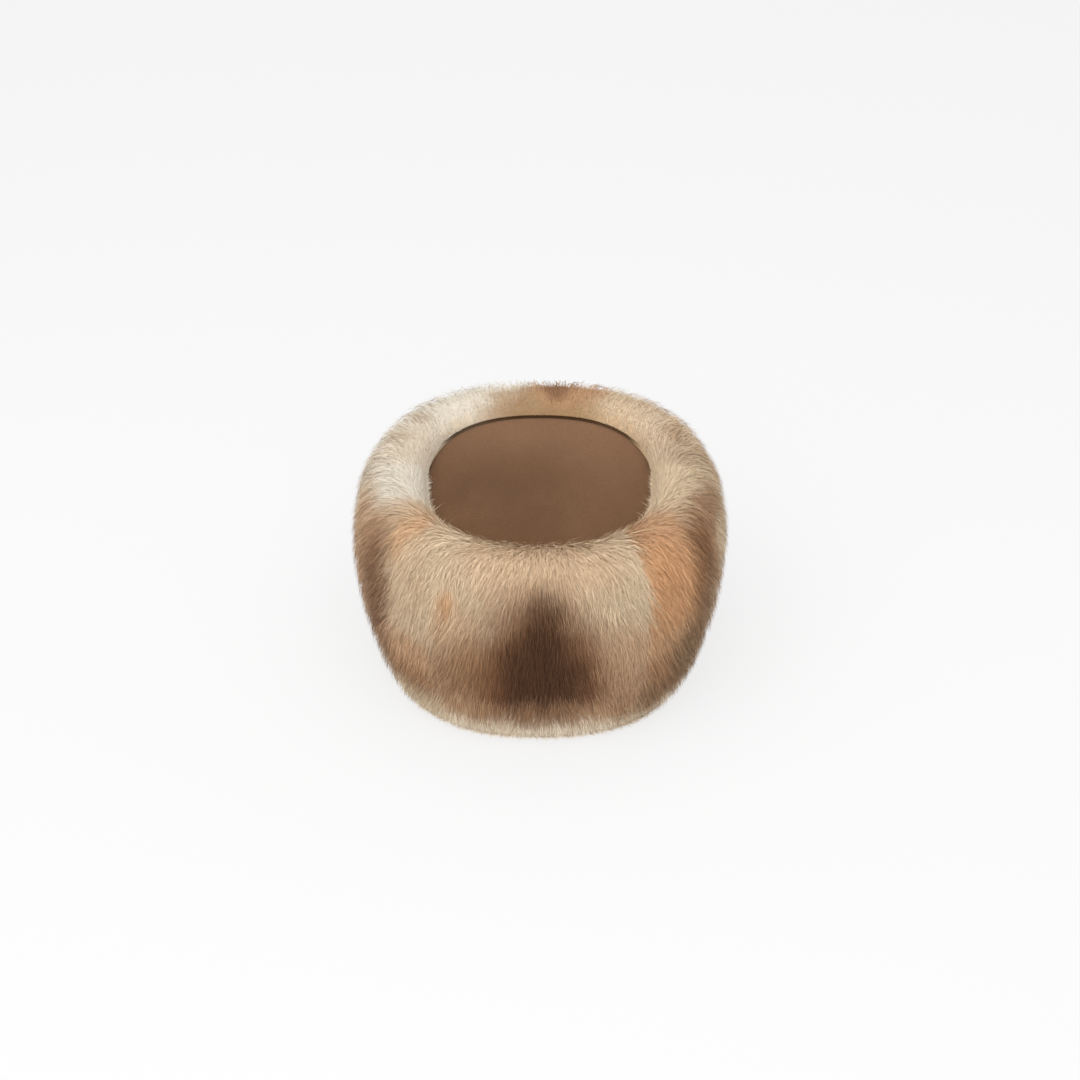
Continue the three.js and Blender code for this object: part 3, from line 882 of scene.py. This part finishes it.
class COSSACK_OT_suede_top(bpy.types.Operator):
    """Makes the oval suede top, domed a little and turned down into its seam"""

    bl_idname = "cossack.suede_top"
    bl_label = "Suede Top"

    # Corners in a ring, rings, and the power that sets the rings closer towards the edge.
    AROUND = 144
    SHARES = 26
    CLOSER = 0.72

    # How far the edge is turned down, over which width, and how high the leather swells.
    EDGE_DROP = 0.0012
    EDGE_TURN = 0.0035
    SWELL = 0.0005
    CUT = (0.152, 0.176)
    CUT_AREA = 0.0221

    def execute(self, context):
        form = settings_of(context).form
        colours = settings_of(context).colours
        azimuth = -np.linspace(0, 2 * math.pi, self.AROUND, endpoint=False)
        shares = np.linspace(0, 1, self.SHARES + 1)[1:] ** self.CLOSER
        edge = oval_point(form, form.top_half_width, 0.0, azimuth)
        rim = np.linalg.norm(edge, axis=1)
        upper, lower = [], []
        for share in shares:
            ring = edge * share
            inwards = rim * (1 - share)
            turned = self.EDGE_DROP * np.exp(-((inwards / self.EDGE_TURN) ** 2))
            swell = self.SWELL * np.sin(38 * ring[:, 0] + 1.0)
            swell = swell * np.sin(31 * ring[:, 1] - 0.6) * (1 - share**4)
            height = form.top_height + form.top_rise * (1 - share**3) - turned + swell
            height = height + back_rise(form, ring[:, 1]) * share
            upper.append(np.column_stack([ring[:, :2], height]))
            lower.append(np.column_stack([ring[:, :2], height - form.top_thickness]))
        rings = lower + upper[::-1]
        corners = np.concatenate(rings + [[[0, 0, form.top_height + form.top_rise - form.top_thickness]],
                                          [[0, 0, form.top_height + form.top_rise]]])
        count = self.AROUND
        faces = []
        for r in range(len(rings) - 1):
            for i in range(count):
                j = (i + 1) % count
                a, b = r * count + i, r * count + j
                faces += [(a, b, b + count), (a, b + count, a + count)]
        below, above = len(corners) - 2, len(corners) - 1
        last = (len(rings) - 1) * count
        for i in range(count):
            j = (i + 1) % count
            faces += [(below, j, i), (above, last + i, last + j)]
        mesh = triangle_mesh("crown_top_suede", corners, np.array(faces)[:, ::-1])
        piece = add_piece("crown_suede", mesh, [suede_material(form, colours)], "crown_top")
        return {"FINISHED"}


class COSSACK_OT_pelt_skins(bpy.types.Operator):
    """Makes the six pelts' skins, from the flesh side round the rim to the wool under the hair"""

    bl_idname = "cossack.pelt_skins"
    bl_label = "Pelt Skins"

    SLICES = 28
    BED_STEP = 0.0045
    BED_LOWEST = 0.0008

    # The wool's lumps: their height, their length, their seed, and metres to a radian across.
    WOOL_LUMPS = 0.0007
    LUMP_LENGTH = 0.012
    LUMP_SEED = 3
    LUMP_ACROSS = 0.12

    # The flesh side from the rim up, as shares of the wall's flare and heights in metres. It ends
    # SEAT_IN inside the suede's edge and SEAT_UNDER below it, with FINER steps between two rows.
    WALL = ((0.0, 0.0), (0.55, 0.034), (0.9, 0.066), (1.0, 0.092), (0.7, 0.108), (0.0, 0.118))
    SEAT_IN = 0.003
    SEAT_UNDER = 0.0005
    FINER = 4

    # Where the wall begins to rise with the suede's edge at the back, and over which height.
    RAISE_FROM = 0.11
    RAISE_OVER = 0.01

    def inner_wall(self, form):
        """Half widths and heights of the flesh side, from the rim up to under the suede."""
        below = form.top_height - form.top_thickness - self.SEAT_UNDER
        seat = (form.top_half_width - self.SEAT_IN, below)
        rows = [(form.rim_half_width + flare * form.wall_flare, height) for flare, height in self.WALL]
        coarse = np.array(rows + [seat])
        finer = np.linspace(0, len(coarse) - 1, self.FINER * (len(coarse) - 1) + 1)
        return np.stack([np.interp(finer, range(len(coarse)), coarse[:, k]) for k in range(2)], 1)

    def execute(self, context):
        hat = settings_of(context)
        form = hat.form
        face = FurFace(form)
        flesh = flesh_material(hat.colours)
        inner = self.inner_wall(form)
        downs = np.arange(0.0, face.length, self.BED_STEP)
        rim_outer = (form.rim_half_width + form.rim_thickness, 0.0)
        half_pelt = math.radians(PELT_DEGREES / 2)
        for number, pelt in enumerate(PELTS):
            middle = number * 2 * half_pelt
            slim = form.seam_gap / 2 / form.widest_half_width
            azimuths = middle + (half_pelt - slim) * np.linspace(-1, 1, self.SLICES + 1)
            sections = []
            for azimuth in azimuths:
                at = np.full_like(downs, azimuth)
                start = face.start(azimuth)
                place, out = face.at(start + downs * (1 - start / face.length), at)
                depth = face.bed(downs)
                rng = np.random.default_rng(self.LUMP_SEED)
                lumps = self.WOOL_LUMPS * ripple(rng, at * self.LUMP_ACROSS, downs, self.LUMP_LENGTH)
                lumps[0] = 0.0
                bed = place - out * (depth + lumps)[:, None]
                bed[:, 2] = np.maximum(bed[:, 2], self.BED_LOWEST)
                share = np.clip((inner[:, 1] - self.RAISE_FROM) / self.RAISE_OVER, 0, 1)
                raised = inner[:, 1] + start * share
                wall = oval_point(form, inner[:, 0], raised, np.full(len(inner), azimuth))
                rim = oval_point(form, np.array([rim_outer[0]]), np.zeros(1), np.array([azimuth]))
                sections.append(np.concatenate([wall, bed, rim]))
            self.add_skin(hat, pelt, number, np.array(sections), len(inner), downs, flesh)
        return {"FINISHED"}

    def add_skin(self, hat, pelt, number, sections, inner_count, downs, flesh):
        """Joins the sections into a closed body and shows it."""
        slices, size, _ = sections.shape
        corners = sections.reshape(-1, 3)
        quads, inside = [], []
        for s in range(slices - 1):
            for i in range(size):
                j = (i + 1) % size
                quads.append((s * size + i, s * size + j, (s + 1) * size + j, (s + 1) * size + i))
                inside.append(i < inner_count - 1 or i >= size - 1)
        mesh = bpy.data.meshes.new(f"pelt_{pelt.name}_skin")
        ends = [tuple(reversed(range(size))), tuple(range((slices - 1) * size, slices * size))]
        mesh.from_pydata(corners.tolist(), [], quads + ends)
        mesh.shade_smooth()
        mesh.polygons.foreach_set("material_index", [0 if flag else 1 for flag in inside] + [0, 0])
        mesh.update()
        wool = underfur_material(pelt, number, hat.colours)
        across = np.linspace(-PELT_DEGREES / 2, PELT_DEGREES / 2, slices)
        station = np.zeros(size)
        station[inner_count:-1] = downs / MM
        station[-1] = downs[-1] / MM
        places = np.zeros((slices, size, 3))
        places[..., 0] = across[:, None]
        places[..., 1] = station
        add_attribute(mesh, "fur_place", "FLOAT_VECTOR", places)
        add_piece(f"pelt_{pelt.name}_skin", mesh, [flesh, wool], f"pelt_{pelt.name}")


class COSSACK_OT_pelt_fur(bpy.types.Operator):
    """Grows the hair of the six pelts, soft wool with longer guard hairs in it"""

    bl_idname = "cossack.pelt_fur"
    bl_label = "Pelt Fur"

    def execute(self, context):
        hat = settings_of(context)
        fur = hat.fur
        face = FurFace(hat.form)
        for number, pelt in enumerate(PELTS):
            middle = number * math.radians(PELT_DEGREES)
            rng = np.random.default_rng(fur.seed + number)
            coats = (
                Coat(fur.wool_count, 0.5, fur.wool_width, -0.0030, -0.0002, 1.0),
                Coat(fur.guard_count, 0.7, fur.guard_width, -0.0016, 0.0012, 1.2),
                Coat(fur.wisp_count, 1.1, fur.wisp_width, -0.0010, fur.wisp_reach, 2.2),
            )
            groups = [grow_hairs(face, fur, middle, coat, rng) for coat in coats]
            hairs = Hairs(*[np.concatenate(part) for part in zip(*groups)])
            triangles = 4 * np.arange(len(hairs.corners))[:, None, None] + STRIP
            mesh = triangle_mesh(f"pelt_{pelt.name}_fur", hairs.corners.reshape(-1, 3),
                                 triangles.reshape(-1, 3), hairs.normals.reshape(-1, 3))
            add_attribute(mesh, "fur_place", "FLOAT_VECTOR", hairs.place)
            add_attribute(mesh, "fur_chance", "FLOAT", hairs.chance)
            place_uvs(mesh, hairs.roots)
            material = fur_material(pelt, number, hat.colours)
            add_piece(f"pelt_{pelt.name}_fur", mesh, [material], f"pelt_{pelt.name}")
        return {"FINISHED"}


class COSSACK_OT_stage(bpy.types.Operator):
    """Sets the camera, the pale floor and the soft lights"""

    bl_idname = "cossack.stage"
    bl_label = "Stage"

    def execute(self, context):
        stage = settings_of(context).stage
        scene = context.scene
        scene.view_settings.view_transform = "Standard"
        self.add_camera(scene, stage)
        self.add_floor(scene, stage)
        self.add_lights(scene, stage)
        return {"FINISHED"}

    def add_camera(self, scene, stage):
        data = bpy.data.cameras.new("camera")
        data.lens = stage.lens
        data.sensor_width = 36.0
        camera = bpy.data.objects.new("camera", data)
        away = Vector((0.0, -math.cos(stage.elevation), math.sin(stage.elevation)))
        camera.location = Vector(stage.aim) + stage.distance * away
        camera.rotation_euler = away.to_track_quat("Z", "Y").to_euler()
        scene.collection.objects.link(camera)
        scene.camera = camera

    def add_floor(self, scene, stage):
        half = stage.floor_size / 2
        mesh = bpy.data.meshes.new("floor")
        mesh.from_pydata([(-half, -half, 0), (half, -half, 0), (half, half, 0), (-half, half, 0)], [],
                         [(0, 1, 2, 3)])
        bench = Bench("paper_floor")
        mesh.materials.append(bench.finish(tuple(stage.floor_shade), 0.9, Specular_IOR_Level=0.0,
                                           Emission_Color=tuple(stage.paper),
                                           Emission_Strength=stage.floor_glow))
        floor = bpy.data.objects.new("floor", mesh)
        scene.collection.objects.link(floor)

    def add_lights(self, scene, stage):
        world = bpy.data.worlds.new("studio")
        world.use_nodes = True
        background = world.node_tree.nodes["Background"]
        background.inputs["Color"].default_value = (*stage.paper, 1.0)
        background.inputs["Strength"].default_value = stage.sky
        scene.world = world
        data = bpy.data.lights.new("key_light", "AREA")
        data.energy = stage.key_power
        data.size = stage.key_size
        light = bpy.data.objects.new("key_light", data)
        light.location = stage.key_place
        towards = light.location - Vector(stage.aim)
        light.rotation_euler = towards.to_track_quat("Z", "Y").to_euler()
        scene.collection.objects.link(light)


class HatSettings(bpy.types.PropertyGroup):
    """Everything that the hat's operators read."""

    form: bpy.props.PointerProperty(type=HatFormSettings)
    fur: bpy.props.PointerProperty(type=HatFurSettings)
    colours: bpy.props.PointerProperty(type=HatColourSettings)
    stage: bpy.props.PointerProperty(type=HatStageSettings)


OPERATORS = (COSSACK_OT_stage, COSSACK_OT_pelt_skins, COSSACK_OT_pelt_fur, COSSACK_OT_suede_top)


class COSSACK_PT_sidebar(bpy.types.Panel):
    """Lists the hat's operators and settings"""

    bl_label = "Cossack Hat"
    bl_space_type = "VIEW_3D"
    bl_region_type = "UI"
    bl_category = "Cossack Hat"

    def draw(self, context):
        for operator in OPERATORS:
            self.layout.operator(operator.bl_idname)
        hat = settings_of(context)
        for group in (hat.form, hat.fur, hat.colours, hat.stage):
            box = self.layout.box()
            for name in group.bl_rna.properties.keys():
                if name not in {"rna_type", "name"}:
                    box.prop(group, name)


GROUPS = (HatFormSettings, HatFurSettings, HatColourSettings, HatStageSettings, HatSettings)
CLASSES = (*GROUPS, *OPERATORS, COSSACK_PT_sidebar)


def register():
    for cls in CLASSES:
        bpy.utils.register_class(cls)
    bpy.types.Scene.cossack_hat = bpy.props.PointerProperty(type=HatSettings)


def unregister():
    del bpy.types.Scene.cossack_hat
    for cls in reversed(CLASSES):
        bpy.utils.unregister_class(cls)


def main():
    register()
    bpy.ops.cossack.stage()
    bpy.ops.cossack.pelt_skins()
    bpy.ops.cossack.pelt_fur()
    bpy.ops.cossack.suede_top()


if __name__ == "__main__":
    main()
